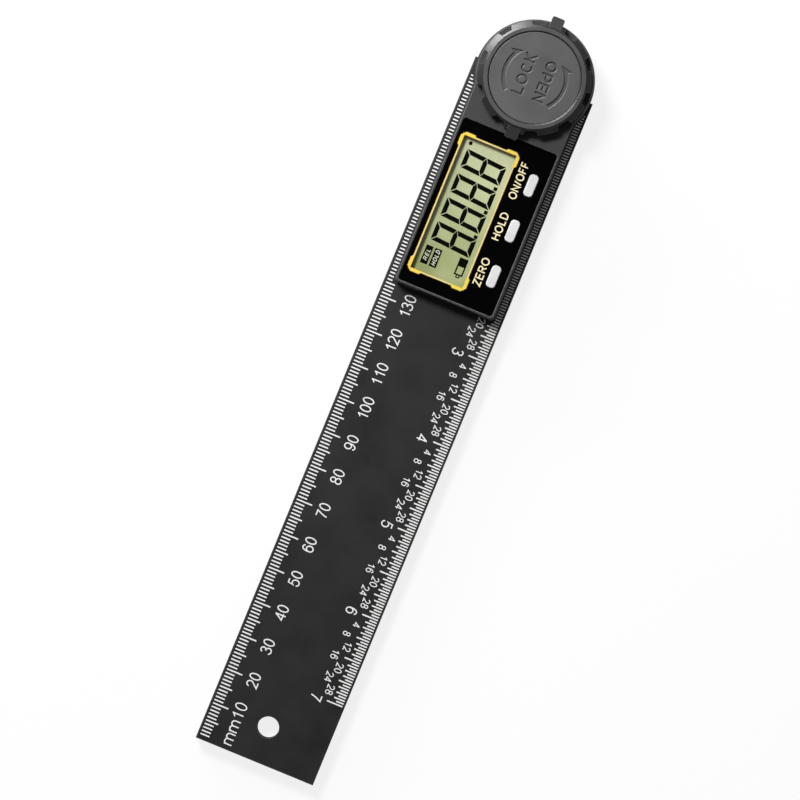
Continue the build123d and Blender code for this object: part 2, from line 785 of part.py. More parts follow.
# Display frame: thin bars and four thick corners, over the joint of window and panel
bar_x = window_width / 2 + frame_bar
bar_y = window_length / 2 + frame_bar
with BuildPart() as display_frame:
    with BuildSketch(Plane((window_x, window_y, panel_z))):
        corner_x = bar_x + frame_corner_overhang
        corner_y = bar_y + frame_corner_overhang
        with BuildLine():
            Polyline(
                (corner_x, corner_y - frame_corner_chamfer),
                (corner_x - frame_corner_chamfer, corner_y),
                (corner_x - frame_corner_length + frame_corner_taper, corner_y),
                (corner_x - frame_corner_length, bar_y),
                (bar_x - frame_corner_length, bar_y - frame_bar),
                (bar_x - frame_bar, bar_y - frame_corner_length),
                (bar_x, corner_y - frame_corner_length),
                (corner_x, corner_y - frame_corner_length + frame_corner_taper),
                close=True,
            )
        make_face()
        mirror(about=Plane.YZ)
        mirror(about=Plane.XZ)
        Rectangle(2 * bar_x, 2 * bar_y)
        Rectangle(window_width, window_length, mode=Mode.SUBTRACT)
    extrude(amount=frame_height)
    chamfer(display_frame.faces().sort_by(Axis.Z)[-1].edges(), frame_bevel)
finish(display_frame, "display_frame")

# Switches and buttons, one pair for each place
for name, (x, y) in zip(button_names, button_places):
    with BuildPart() as switch:
        with BuildSketch(Plane.XY.offset(board_z)):
            with Locations((x, y)):
                Rectangle(switch_width, switch_length)
        extrude(amount=switch_body_height)
        with BuildSketch(Plane.XY.offset(board_z + switch_body_height)):
            with Locations((x, y)):
                Circle(switch_plunger_radius)
        extrude(amount=flange_z - button_travel - switch_free_gap - board_z - switch_body_height)
    finish(switch, f"{name}_switch")

    with BuildPart() as button:
        with BuildSketch(Plane.XY.offset(flange_z)):
            with Locations((x, y)):
                RectangleRounded(
                    button_width + 2 * button_flange,
                    button_length + 2 * button_flange,
                    button_corner + button_flange,
                )
        extrude(amount=button_flange_thickness)
        with BuildSketch(Plane.XY.offset(deck_under_z)):
            with Locations((x, y)):
                RectangleRounded(button_width, button_length, button_corner)
        extrude(amount=panel_z + button_proud - deck_under_z)
        fillet(button.faces().sort_by(Axis.Z)[-1].edges(), button_edge_radius)
    finish(button, f"{name}_button")

# Disc spring: a shallow cone that keeps the pivot firm when the knob is open
spring_hole_radius = thread_radius + 2 * pivot_play
with BuildPart() as disc_spring:
    with BuildSketch(Plane.XZ):
        with BuildLine():
            Polyline(
                (spring_radius, spring_z),
                (spring_radius, spring_z + spring_sheet),
                (spring_hole_radius, spring_z + spring_rise),
                (spring_hole_radius, spring_z + spring_rise - spring_sheet),
                close=True,
            )
        make_face()
    revolve(axis=Axis.Z)
finish(disc_spring, "disc_spring")

# Knob washer: the flat steel ring that the nut presses on
with BuildPart() as knob_washer:
    with BuildSketch(Plane.XY.offset(knob_washer_z)):
        Circle(knob_boss_radius)
        Circle(spring_hole_radius, mode=Mode.SUBTRACT)
    extrude(amount=knob_washer_thickness)
finish(knob_washer, "knob_washer")

# Knob: a toothed cup with a sloping edge, two sloping lugs and a boss that holds the nut
notch_rim_radius = knob_radius + notch_reach
with BuildPart() as knob:
    with BuildSketch(Plane.YZ):
        with Locations((0, knob_z)):
            Polygon(
                (lug_root, 0),
                (lug_radius, 0),
                (lug_radius, lug_end_height),
                (lug_root, lug_root_height),
            )
        mirror(about=Plane.YZ)
    extrude(amount=lug_width / 2, both=True)
    with BuildSketch(Plane.XY.offset(knob_z)):
        RectangleRounded(lug_width, 2 * lug_radius, lug_corner)
    extrude(amount=knob_height, mode=Mode.INTERSECT)
    with BuildSketch(Plane.XZ):
        with BuildLine():
            Polyline(
                (knob_rim_radius, knob_top_z),
                (knob_face_radius + knob_ring_slope, knob_top_z),
                (knob_face_radius, knob_top_z - knob_face_drop),
                (knob_face_radius, cap_z),
                (0, cap_z),
                (0, boss_z),
                (knob_boss_radius, boss_z),
                (knob_boss_radius, web_under_z),
                (knob_radius - knob_wall, web_under_z),
                (knob_radius - knob_wall, knob_z),
                (knob_radius, knob_z),
                (knob_radius, knob_z + knob_band),
                close=True,
            )
        make_face()
    revolve(axis=Axis.Z)
    with BuildSketch(Plane.XY.offset(knob_z)):
        with PolarLocations(0, knob_teeth):
            Polygon(
                polar(notch_floor_radius, notch_inner_half_angle),
                polar(notch_floor_radius, -notch_inner_half_angle),
                polar(notch_rim_radius, -notch_outer_half_angle),
                polar(notch_rim_radius, notch_outer_half_angle),
            )
    extrude(amount=knob_height, mode=Mode.SUBTRACT)
    with BuildSketch(Plane.XY.offset(boss_z)):
        RegularPolygon(nut_flats / 2 + press_gap, 6, major_radius=False)
    extrude(amount=nut_thickness, mode=Mode.SUBTRACT)
finish(knob, "knob")

# Knob nut: pressed in the boss, running on the pivot bolt's thread
with BuildPart() as knob_nut:
    with BuildSketch(Plane.XY.offset(boss_z)):
        RegularPolygon(nut_flats / 2, 6, major_radius=False)
        Circle(thread_radius + pivot_play, mode=Mode.SUBTRACT)
    extrude(amount=nut_thickness)
finish(knob_nut, "knob_nut")

# Knob cap: the face disc, with the two words and the two turning arrows cut in it
with BuildPart() as knob_cap:
    with BuildSketch(Plane.XY.offset(cap_z)):
        Circle(knob_face_radius - cap_gap)
    extrude(amount=cap_thickness)
    with BuildSketch(Plane.XY.offset(cap_z + cap_thickness)):
        add(Pos(-letter_offset, 0) * Rot(0, 0, 90) * word("LOCK"))
        add(Pos(letter_offset, 0) * Rot(0, 0, -90) * word("OPEN"))
        open_arrow = turning_arrow()
        add(open_arrow)
        add(mirror(open_arrow, about=Plane.YZ, mode=Mode.PRIVATE))
    extrude(amount=-engraving_depth, mode=Mode.SUBTRACT)
finish(knob_cap, "knob_cap")
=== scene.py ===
"""Looks of the digital angle ruler: finishes, printed scales, display, studio light and camera.

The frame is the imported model, in metres, with the pivot's axis along Z, +Y along the ruler towards
the knob end and +X towards the inch scale. Sizes here are written in millimetres, times MM.
"""

from math import ceil, cos, radians, sin, sqrt, tan

import bpy
from mathutils import Matrix, Vector


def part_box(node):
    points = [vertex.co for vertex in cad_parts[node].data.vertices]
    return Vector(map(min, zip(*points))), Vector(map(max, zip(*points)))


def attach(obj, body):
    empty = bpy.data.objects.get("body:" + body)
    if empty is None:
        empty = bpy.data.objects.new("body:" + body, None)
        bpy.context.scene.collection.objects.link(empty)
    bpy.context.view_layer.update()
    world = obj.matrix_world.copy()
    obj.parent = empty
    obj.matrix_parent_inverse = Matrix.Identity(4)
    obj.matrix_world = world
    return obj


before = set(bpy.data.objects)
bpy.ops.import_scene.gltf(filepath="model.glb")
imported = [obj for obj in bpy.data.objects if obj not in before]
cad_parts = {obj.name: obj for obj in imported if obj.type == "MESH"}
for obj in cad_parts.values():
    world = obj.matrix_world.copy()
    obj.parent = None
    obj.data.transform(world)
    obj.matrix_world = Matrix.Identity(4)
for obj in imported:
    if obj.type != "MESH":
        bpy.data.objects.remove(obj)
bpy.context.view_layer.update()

MM = 0.001


def box_mm(node):
    """Lowest and highest corners of a node in millimetres."""
    return tuple(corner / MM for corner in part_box(node))


def half_width_before(node, y):
    """The largest x of a node before a place along the ruler, in millimetres."""
    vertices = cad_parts[node].data.vertices
    return max(v.co.x for v in vertices if v.co.y < y * MM) / MM


# Places taken from the frame, in millimetres
arm_low, arm_high = box_mm("front_arm")
panel_high = box_mm("front_panel")[1]
frame_low, frame_high = box_mm("display_frame")
glass_low, glass_high = box_mm("lcd_glass")
housing_low, housing_high = box_mm("display_housing")

EDGE = arm_high.x
FRONT_FACE = arm_high.z
ARM_GAP = 0.4  # between the two arms
BACK_FACE = arm_low.z - ARM_GAP
HUB_RADIUS = housing_high.x
HOUSING_END = housing_low.y
HUB_CLEAR = 2  # the housing is straight from this many times the panel's distance from the pivot
HOUSING_FOOT = half_width_before("display_housing", HUB_CLEAR * panel_high.y)

# Directions in which print is read
TO_KNOB = (0, 1)
TO_FREE_END = (0, -1)

# Printed marks
INK = 0.02  # above the surface
INK_SINK = 0.01  # below it
INK_STEP = 0.002  # marks that may cross differ in height by this much
INK_LAYERS = 4
MITRE_LEAST = 0.4  # least cosine of half a corner's turn that is mitred in full
ARC_STEP = 15.0  # degrees

# Millimetre scale, on the -X edge, read from the free end
MM_ZERO = -200.16
MM_LAST = 200
TICK_WIDTH = 0.38
MM_TICK_START = 0.81
MM_TICK_ENDS = {10: 5.33, 5: 4.37, 1: 3.43}
NUMBER_EVERY = 10
NUMBER_HEIGHT = 3.3
NUMBER_STROKE = 0.34
NUMBER_CELL = 2.19  # each digit stands in the middle of a cell
MM_NUMBER_TOP = 7.09  # edge to the top of the numbers
TWO_DIGIT_SHIFT = 0.17  # numbers of two digits stand this far before their tick
FIRST_HEIGHT = 3.5  # the unit and the first number are larger
FIRST_FOOT = -7.17
FIRST_PLACES = (("m", -197.62), ("m", -193.9), ("1", -190.88), ("0", -188.24))

# Inch scale, on the +X edge, read from the pivot
INCH = 25.4
INCH_PARTS = 32
INCH_LAST = 7
INCH_TICK_START = 0.64
INCH_TICK_ENDS = {16: 5.23, 8: 4.32, 2: 3.72, 1: 2.80}
INCH_NUMBER_TOP = 6.7
INCH_NUMBER_SHIFT = 0.23  # beyond its tick
PART_NUMBER_HEIGHT = 2.2
PART_NUMBER_STROKE = 0.25
PART_NUMBER_CELL = 1.49
PART_NUMBER_TOPS = {4: 4.45, 8: 6.05, 12: 4.45, 16: 6.85, 20: 4.45, 24: 6.05, 28: 4.45}
PART_NUMBER_SHIFT = 0.15  # beyond its tick

# Where the housing and the hub leave room for print
PRINT_CLEAR = 0.12
SHORTEST_TICK = 0.4
BACK_ARM_PRINT_RADIUS = 18.4

# Liquid crystal display, read along +Y with its tops towards -X
DIGIT_TOP = -9.69
DIGIT_FOOT = 2.16
DIGIT_STARTS = (-51.75, -44.75, -37.75, -30.55)
DIGIT_SPAN = 6.25
DIGIT_SLANT = 4.3  # degrees
SEGMENT = 1.26
SEGMENT_GAP = 0.17
POINT_X = 1.52
POINT_SIZE = 1.0
POINT_PLACES = (-45.75, -38.55, -31.65)
DOT_PLACE = (-9.42, -22.65)  # after the last digit
DOT_RADIUS = 0.53
BADGES = (  # word, left and right x, span
    ("REL", -9.97, -7.97, 3.2),
    ("HOLD", -7.42, -5.37, 4.3),
)
BADGE_START = -57.75
BADGE_END = -52.55
BADGE_STROKE = 0.26
BADGE_MARGIN = 0.38
BADGE_GAP = 0.24
BADGE_LEAN = 0.16
BATTERY_X = (-0.02, 2.03)
BATTERY_Y = (-57.05, -52.55)
BATTERY_STROKE = 0.4
BATTERY_CHARGE = 2.2
BATTERY_TERMINAL = (0.8, 0.75)
TERMINAL_STROKE = 0.28

# Words beside the buttons, each with its span
LABELS = {
    "on_off_button": ("ON/OFF", 10.6),
    "hold_button": ("HOLD", 7.9),
    "zero_button": ("ZERO", 8.0),
}
LABEL_HEIGHT = 2.37
LABEL_STROKE = 0.37
LABEL_GAP = 0.28
LABEL_X = 6.56  # middle of the words

# All finishes
NOISE_RANGE = (0.3, 0.7)  # soft noise seldom leaves it
BEVEL_SAMPLES = 6
UNEVEN = (0.85, 1.15)  # of the roughness of rubber and ink

# Moulded plastic
GRAIN_SHARE = 0.6  # of the fine grain in its tone, and the rest is a slow change
SLOW_CHANGE = 14  # size of that change
TONE_NOISE = (0.35, 0.65)
SLOPES = (0.2, 0.6)  # upright part of a face's direction, from a side to a top
TOP_TONES = (0.88, 1.12)  # of its colour
# Tones of its colour on upright faces: painted shade on the sides
SIDE_SHADE_TONES = (0.65, 0.8)
# Tones of its colour below a cut: painted shade in the cut-in floors
CUT_SHADE_TONES = (0.4, 0.5)
CUT_SOFTNESS = 0.05
EDGE_REACH = 0.24  # how far its lighter edges reach: rubbed wear and a painted highlight
EDGE_TURN = 0.93  # cosine of the turn at which an edge counts in full
# Colour of lighter edges: partly rubbed wear, partly a painted highlight
EDGE_WEAR_AND_HIGHLIGHT = "8d8e90"
EDGE_WEAR_AND_HIGHLIGHT_NOISE = (0.25, 0.5)
HANDLED = (0.85, 1.12)  # of its roughness
SIDE_GLOSS = 1.3  # roughness of its sides, of that on top
LETTER_DEPTH = 0.5  # of the words cut in the knob's cap

# Display frame
FRAME_CORNER = 4.3  # reach of the full yellow from each corner
FRAME_SOFTNESS = 0.4
FRAME_LEVEL = (0.8, 0.95)  # upright part of a face's direction, from the bevels to the top
FRAME_YELLOW = "f9de55"
# Cream of the thin bars is a painted highlight, gold of the bevels painted shade
FRAME_BAR_HIGHLIGHT = "ece2a8"
FRAME_BEVEL_SHADE = "c6a02a"
FRAME_SPECKS = "c9951a"

# Window and display glass
WINDOW_TINT = (0.96, 0.97, 0.95, 1)
MIRROR_LEAST = 0.02  # share that the window mirrors when it is seen straight on
MIRROR_POWER = 5.0  # how steeply that share rises with the slant
GLASS_DARK, GLASS_LIGHT, GLASS_SPARKLE = "b0b87d", "e7e9c2", "f0f3dc"
GLASS_DRIFT = (0.2, 0.7)

# Rubber, metal and circuit board
VELVET = 0.15
DUST = "c4c2bc"
DUST_NOISE = (0.62, 0.78)
DUST_SHARE = 0.35
TARNISH_NOISE = (0.45, 0.75)
LINED = (0.7, 1.4)  # of the roughness of metal
TRACKS = "3c8a52"
TRACK_SPACING = 6  # size of the pattern

# Camera, from where the photograph was taken
PHOTO_WIDTH = 800  # pixels
PIXELS_PER_MM = 3.67  # in the front arm's plane
VIEW_CENTRE = (-0.69, -94.5)
RULER_TURN = 22.35  # degrees that the ruler leans to the right in the picture
CAMERA_DISTANCE = 1600.0
CAMERA_LEAN = 0.5  # degrees from straight above, towards +X
SENSOR = 36.0
CLIP_START, CLIP_END = 0.1, 100.0  # metres

# Studio
LAMP_DIRECTION = (-0.76, 0.65)  # across the ruler and along it
LAMP_DISTANCE = 1000.0
LAMPS = (  # name, degrees up, width, height and power in watts
    ("key_lamp", 57.0, 260.0, 260.0, 7.7),
    ("low_lamp", 14.0, 900.0, 240.0, 7.5),
)
FLOOR_SIZE = 16000.0
FLOOR_DROP = 0.02  # below the ruler
FLOOR_PAPER = "717171"  # under its own white, so that the shadow on it stays faint
FLOOR_GLOW = 0.84  # strength of its own white, to the camera
FLOOR_MIRRORED = 0.3  # of that, in mirror images of the floor
WHITE = (1, 1, 1, 1)
SKY = (  # height, brightness
    (0.0, 0.04),
    (0.35, 0.08),
    (0.62, 0.4),
    (0.85, 0.5),
    (0.94, 0.12),
    (0.98, 0.03),
)
SKY_FAR_SIDE = 0.3  # brightness away from the key lamp, of that beside it


def linear(code):
    """Linear colour of a hex colour code."""
    parts = [int(code[i:i + 2], 16) / 255 for i in (0, 2, 4)]
    return tuple(p / 12.92 if p <= 0.04045 else ((p + 0.055) / 1.055) ** 2.4 for p in parts)


class Nodes:
    """A node tree with short ways to add to it."""

    def __init__(self, tree):
        self.tree = tree

    def node(self, kind, inputs=(), **settings):
        """A new node with its settings and its inputs: numbers or other nodes' outputs."""
        made = self.tree.nodes.new(kind)
        for key, value in settings.items():
            setattr(made, key, value)
        for key, value in dict(inputs).items():
            if isinstance(value, bpy.types.NodeSocket):
                self.tree.links.new(value, made.inputs[key])
            else:
                made.inputs[key].default_value = value
        return made

    def math(self, operation, *values):
        return self.node("ShaderNodeMath", dict(enumerate(values)), operation=operation).outputs[0]

    def spread(self, value, low, high, to_low=0.0, to_high=1.0):
        """The value mapped from one range to another, held within it."""
        ranges = {"From Min": low, "From Max": high, "To Min": to_low, "To Max": to_high}
        return self.node("ShaderNodeMapRange", {"Value": value, **ranges}).outputs["Result"]


class Finish(Nodes):
    """A Principled material with the procedural nodes that feed it."""

    def __init__(self, name, colour, roughness, metallic=0.0, specular=0.5):
        self.material = bpy.data.materials.new(name)
        self.material.use_nodes = True
        super().__init__(self.material.node_tree)
        self.shader = self.tree.nodes["Principled BSDF"]
        self.base = linear(colour)
        self.shader.inputs["Base Color"].default_value = (*self.base, 1)
        self.shader.inputs["Roughness"].default_value = roughness
        self.shader.inputs["Metallic"].default_value = metallic
        self.shader.inputs["Specular IOR Level"].default_value = specular
        self.place = self.node("ShaderNodeTexCoord").outputs["Object"]
        self.normal = None

    def along(self, axis):
        """The place along an axis, in metres."""
        return self.node("ShaderNodeSeparateXYZ", {0: self.place}).outputs[axis]

    def past(self, value, limit, softness):
        """0 where a value is below a limit and 1 above it, with a soft change, in millimetres."""
        return self.spread(value, (limit - softness) * MM, (limit + softness) * MM)

    def noise(self, size, detail=2.0, stretch=(1, 1, 1)):
        """Soft noise with features of about a size in millimetres, stretched along the axes."""
        scale = tuple(1 / s for s in stretch)
        mapped = self.node("ShaderNodeMapping", {"Vector": self.place, "Scale": scale})
        inputs = {"Vector": mapped.outputs["Vector"], "Scale": 1 / (size * MM), "Detail": detail}
        return self.node("ShaderNodeTexNoise", inputs).outputs["Fac"]

    def patches(self, size, detail, low=0.0, high=1.0, stretch=(1, 1, 1)):
        """Noise spread over a range of values."""
        return self.spread(self.noise(size, detail, stretch), *NOISE_RANGE, low, high)

    def uneven(self, roughness, shares, size, detail):
        """A roughness that varies in patches between two shares of itself."""
        low, high = (roughness * share for share in shares)
        return self.patches(size, detail, low, high)

    def blend(self, share, first, second):
        """A colour between two, each a hex code or a colour output."""
        first = (*linear(first), 1) if isinstance(first, str) else first
        second = (*linear(second), 1) if isinstance(second, str) else second
        # The Mix node's sockets 6 and 7 and its output 2 are those for colours
        mixed = self.node("ShaderNodeMix", {0: share, 6: first, 7: second}, data_type="RGBA")
        return mixed.outputs[2]

    def mixed(self, first, second, share):
        """Two values added, the first by a share and the second by the rest."""
        rest = self.math("MULTIPLY", second, 1 - share)
        return self.math("ADD", self.math("MULTIPLY", first, share), rest)

    def colour(self, output):
        self.tree.links.new(output, self.shader.inputs["Base Color"])

    def shade(self, share, low, high):
        """The base colour darker and lighter between two factors, as a share goes from 0 to 1."""
        dark = (*(c * low for c in self.base), 1)
        light = (*(c * high for c in self.base), 1)
        return self.blend(share, dark, light)

    def gloss(self, output):
        self.tree.links.new(output, self.shader.inputs["Roughness"])

    def bevel(self, radius):
        """The direction of the surface with its edges rounded by a radius in millimetres."""
        inputs = {"Radius": radius * MM}
        return self.node("ShaderNodeBevel", inputs, samples=BEVEL_SAMPLES).outputs["Normal"]

    def rounded(self, radius):
        """Edges that catch the light as if they were rounded by a radius in millimetres."""
        self.normal = self.bevel(radius)

    def relief(self, height, depth):
        """A bump of a depth in millimetres."""
        inputs = {"Height": height, "Distance": depth * MM, "Strength": 1.0}
        if self.normal:
            inputs["Normal"] = self.normal
        self.normal = self.node("ShaderNodeBump", inputs).outputs["Normal"]

    def facing_up(self):
        """1 on level faces that look up, and 0 on upright ones."""
        flat = self.node("ShaderNodeNewGeometry").outputs["True Normal"]
        return self.node("ShaderNodeSeparateXYZ", {0: flat}).outputs["Z"]

    def edges(self, radius):
        """A mask that is 1 on edges and 0 on flat faces."""
        soft = self.bevel(radius)
        flat = self.node("ShaderNodeNewGeometry").outputs["Normal"]
        product = self.node("ShaderNodeVectorMath", {0: soft, 1: flat}, operation="DOT_PRODUCT")
        return self.spread(product.outputs["Value"], 1.0, EDGE_TURN)

    def done(self):
        if self.normal:
            self.tree.links.new(self.normal, self.shader.inputs["Normal"])
        return self.material


def moulded(
    name, colour, roughness, grain, relief,
    wear_and_highlight=0.35, rounding=0.12, specular=0.5, coat=0.0, cut=None,
):
    """Moulded plastic: grain, a slow change of tone, duller and darker sides and lighter edges.

    The darker sides are painted shade. The lighter edges are partly rubbed wear and partly a painted
    highlight. Below the height of a cut, where there is one, it is darker: painted shade.
    """
    made = Finish(name, colour, roughness, specular=specular)
    made.shader.inputs["Coat Weight"].default_value = coat
    made.shader.inputs["Coat Roughness"].default_value = roughness
    fine = made.noise(grain, detail=3)
    tone = made.mixed(fine, made.noise(SLOW_CHANGE, detail=3), GRAIN_SHARE)
    tone = made.spread(tone, *TONE_NOISE)
    top = made.spread(made.math("ABSOLUTE", made.facing_up()), *SLOPES)
    # Sides darker than tops: painted shade
    body = made.blend(top, made.shade(tone, *SIDE_SHADE_TONES), made.shade(tone, *TOP_TONES))
    # Floors below the cut are darker: painted shade
    if cut:
        uncut = made.past(made.along("Z"), cut, CUT_SOFTNESS)
        body = made.blend(uncut, made.shade(tone, *CUT_SHADE_TONES), body)
    # Lighter edges: partly rubbed wear and partly a painted highlight
    worn_and_highlit = made.spread(made.noise(size=1.2, detail=4), *EDGE_WEAR_AND_HIGHLIGHT_NOISE)
    worn_and_highlit = made.math("MULTIPLY", made.edges(EDGE_REACH), worn_and_highlit)
    made.colour(made.blend(made.math("MULTIPLY", worn_and_highlit, wear_and_highlight), body, EDGE_WEAR_AND_HIGHLIGHT))
    handled = made.uneven(roughness, HANDLED, size=9, detail=4)
    made.gloss(made.math("MULTIPLY", handled, made.spread(top, 0.0, 1.0, SIDE_GLOSS, 1.0)))
    made.rounded(rounding)
    made.relief(fine, relief)
    return made.done()


def gloss_panel(name):
    """Back-printed acrylic: near black, polished, with faint wiping marks."""
    made = Finish(name, "030303", roughness=0.07, specular=0.45)
    made.colour(made.shade(made.patches(size=0.4, detail=2), low=0.7, high=1.3))
    wiped = made.noise(size=5, detail=4, stretch=(1, 3, 1))
    made.gloss(made.spread(wiped, low=0.35, high=0.75, to_low=0.05, to_high=0.13))
    made.rounded(radius=0.1)
    made.relief(made.noise(size=3, detail=2), depth=0.0006)
    return made.done()


def yellow_frame(name):
    """Painted frame: full yellow on the corners, cream on the thin bars, gold on the bevels.

    The cream of the bars is a painted highlight and the gold of the bevels is painted shade.
    """
    made = Finish(name, FRAME_YELLOW, roughness=0.38)
    middle = (frame_low + frame_high) / 2
    reach = []
    for index, axis in enumerate("XY"):
        off = made.math("SUBTRACT", made.along(axis), middle[index] * MM)
        half = (frame_high[index] - frame_low[index]) / 2 - FRAME_CORNER
        reach.append(made.past(made.math("ABSOLUTE", off), half, FRAME_SOFTNESS))
    # Thin bars paler cream: a painted highlight
    body = made.blend(made.math("MULTIPLY", *reach), FRAME_BAR_HIGHLIGHT, FRAME_YELLOW)
    # Bevels darker gold: painted shade
    body = made.blend(made.spread(made.facing_up(), *FRAME_LEVEL), FRAME_BEVEL_SHADE, body)
    specks = made.patches(size=0.5, detail=3, high=0.12)
    made.colour(made.blend(specks, body, FRAME_SPECKS))
    made.gloss(made.patches(size=0.8, detail=3, low=0.3, high=0.46))
    made.rounded(radius=0.1)
    made.relief(made.noise(size=0.25, detail=2), depth=0.002)
    return made.done()


def clear_pane(name):
    """Clear acrylic: it lets the glass below show through and mirrors a little of the room."""
    made = Finish(name, "ffffff", roughness=0.04, metallic=1.0)
    made.colour(made.shade(made.patches(size=4, detail=3), low=0.94, high=1.0))
    made.gloss(made.patches(size=6, detail=3, low=0.03, high=0.07))
    made.relief(made.noise(size=5, detail=2), depth=0.0004)
    made.done()
    clear = made.node("ShaderNodeBsdfTransparent", {"Color": WINDOW_TINT})
    slant = made.node("ShaderNodeLayerWeight", {"Blend": 0.5}).outputs["Facing"]
    mirror = made.spread(made.math("POWER", slant, MIRROR_POWER), 0.0, 1.0, MIRROR_LEAST, 1.0)
    layers = {0: mirror, 1: clear.outputs[0], 2: made.shader.outputs[0]}
    both = made.node("ShaderNodeMixShader", layers).outputs[0]
    made.tree.links.new(both, made.tree.nodes["Material Output"].inputs["Surface"])
    return made.material


def display_glass(name):
    """Reflective display glass: pale green with a slow drift of tone and a fine sparkle."""
    made = Finish(name, "c9cda3", roughness=0.32, specular=0.3)
    along = made.spread(made.along("Y"), glass_low.y * MM, glass_high.y * MM)
    drift = made.mixed(along, made.noise(size=9, detail=3), share=0.5)
    body = made.blend(made.spread(drift, *GLASS_DRIFT), GLASS_DARK, GLASS_LIGHT)
    sparkle = made.patches(size=0.12, detail=2, high=0.1)
    made.colour(made.blend(sparkle, body, GLASS_SPARKLE))
    made.gloss(made.patches(size=0.12, detail=2, low=0.26, high=0.36))
    return made.done()


def rubbery(name, colour, roughness):
    """Silicone or rubber: soft edges, a velvety gloss and fine specks of dust."""
    made = Finish(name, colour, roughness)
    made.shader.inputs["Sheen Weight"].default_value = VELVET
    body = made.shade(made.patches(size=2.5, detail=3), low=0.95, high=1.04)
    dust = made.spread(made.noise(size=0.22, detail=3), *DUST_NOISE, 0.0, DUST_SHARE)
    made.colour(made.blend(dust, body, DUST))
    made.gloss(made.uneven(roughness, UNEVEN, size=1.0, detail=3))
    made.rounded(radius=0.15)
    made.relief(made.noise(size=0.18, detail=2), depth=0.002)
    return made.done()


def worked_metal(name, colour, roughness):
    """Rolled or turned metal: fine lines one way, with a slight tarnish."""
    made = Finish(name, colour, roughness, metallic=1.0)
    lines = made.noise(size=0.12, detail=3, stretch=(1, 14, 1))
    clean = made.spread(made.noise(size=2.5, detail=4), *TARNISH_NOISE, 1.0, 0.0)
    made.colour(made.shade(clean, low=0.72, high=1.0))
    smooth, rough = (roughness * share for share in LINED)
    made.gloss(made.spread(lines, low=0.25, high=0.75, to_low=smooth, to_high=rough))
    made.rounded(radius=0.1)
    made.relief(lines, depth=0.003)
    return made.done()


def circuit_board(name):
    """Solder mask over copper tracks, with a woven ground."""
    made = Finish(name, "1d5a34", roughness=0.35)
    bricks = {"Scale": 1 / (TRACK_SPACING * MM), "Mortar Size": 0.03, "Mortar Smooth": 0.1}
    bricks["Vector"] = made.place
    tracks = made.node("ShaderNodeTexBrick", bricks, offset=0.35).outputs["Fac"]
    weave = made.patches(size=0.3, detail=2, stretch=(1, 3, 1))
    made.colour(made.blend(tracks, made.shade(weave, low=0.85, high=1.1), TRACKS))
    made.rounded(radius=0.08)
    made.relief(tracks, depth=0.02)
    return made.done()


def ink(name, colour, roughness=0.55, specular=0.5):
    """Screen-printed ink, slightly uneven in density."""
    made = Finish(name, colour, roughness, specular=specular)
    made.colour(made.shade(made.patches(size=0.25, detail=3), low=0.9, high=1.03))
    made.gloss(made.uneven(roughness, UNEVEN, size=0.4, detail=2))
    made.relief(made.noise(size=0.15, detail=2), depth=0.002)
    return made.done()


def slot_finishes():
    """The finish of each of the frame's material slots."""
    return {
        "blade_plastic": moulded(
            "finish_blade", "161617", 0.46, grain=0.22, relief=0.008, specular=0.42,
        ),
        # The housing's lighter edges are at full strength: a painted highlight along its rim, with
        # some rubbed wear
        "housing_plastic": moulded(
            "finish_housing", "2d2d2e", 0.46, grain=0.2, relief=0.005, wear_and_highlight=1.0, rounding=0.35,
        ),
        "knob_plastic": moulded(
            "finish_cap", "363637", 0.4, grain=0.2, relief=0.004, rounding=0.26,
            specular=1.0, coat=0.5, cut=box_mm("knob_cap")[1].z - LETTER_DEPTH / 2,
        ),
        "panel_gloss": gloss_panel("finish_panel"),
        "frame_yellow": yellow_frame("finish_frame"),
        "clear_window": clear_pane("finish_window"),
        "lcd": display_glass("finish_display"),
        "button_plastic": rubbery("finish_button", "e0e0df", 0.42),
        "holder_plastic": moulded("finish_holder", "c9c7bf", 0.5, grain=0.3, relief=0.004),
        "switch_plastic": moulded("finish_switch", "1c1c1d", 0.4, grain=0.2, relief=0.003),
        "washer_plastic": moulded("finish_washer", "e2ded2", 0.35, grain=0.3, relief=0.003),
        "resin": rubbery("finish_resin", "0c0c0d", 0.22),
        "connector_rubber": rubbery("finish_connector", "d77f9c", 0.55),
        "board": circuit_board("finish_board"),
        "steel": worked_metal("finish_steel", "b9bcc0", 0.3),
        "cell_steel": worked_metal("finish_cell", "cfd1d2", 0.24),
        "contact_metal": worked_metal("finish_contact", "d9c79a", 0.28),
        "nut_brass": worked_metal("finish_brass", "c9a552", 0.3),
    }


def dress_nodes():
    """Give each node the finish of its slot, and the knob a glossier one than its cap."""
    finishes = slot_finishes()
    polished = moulded(
        "finish_knob", "1e1e1f", 0.38, grain=0.2, relief=0.003, specular=1.0, coat=0.7,
    )
    for name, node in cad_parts.items():
        for holder in node.material_slots:
            holder.material = polished if name == "knob" else finishes[holder.material.name]


def arc(x, y, radius_x, radius_y, start, end):
    """Points on an ellipse between two angles in degrees."""
    steps = ceil(abs(end - start) / ARC_STEP)
    angles = [radians(start + (end - start) * i / steps) for i in range(steps + 1)]
    return [(x + radius_x * cos(a), y + radius_y * sin(a)) for a in angles]


def ring(x, y, radius_x, radius_y):
    """A closed ellipse, without its last point."""
    return arc(x, y, radius_x, radius_y, 0, 360)[:-1]


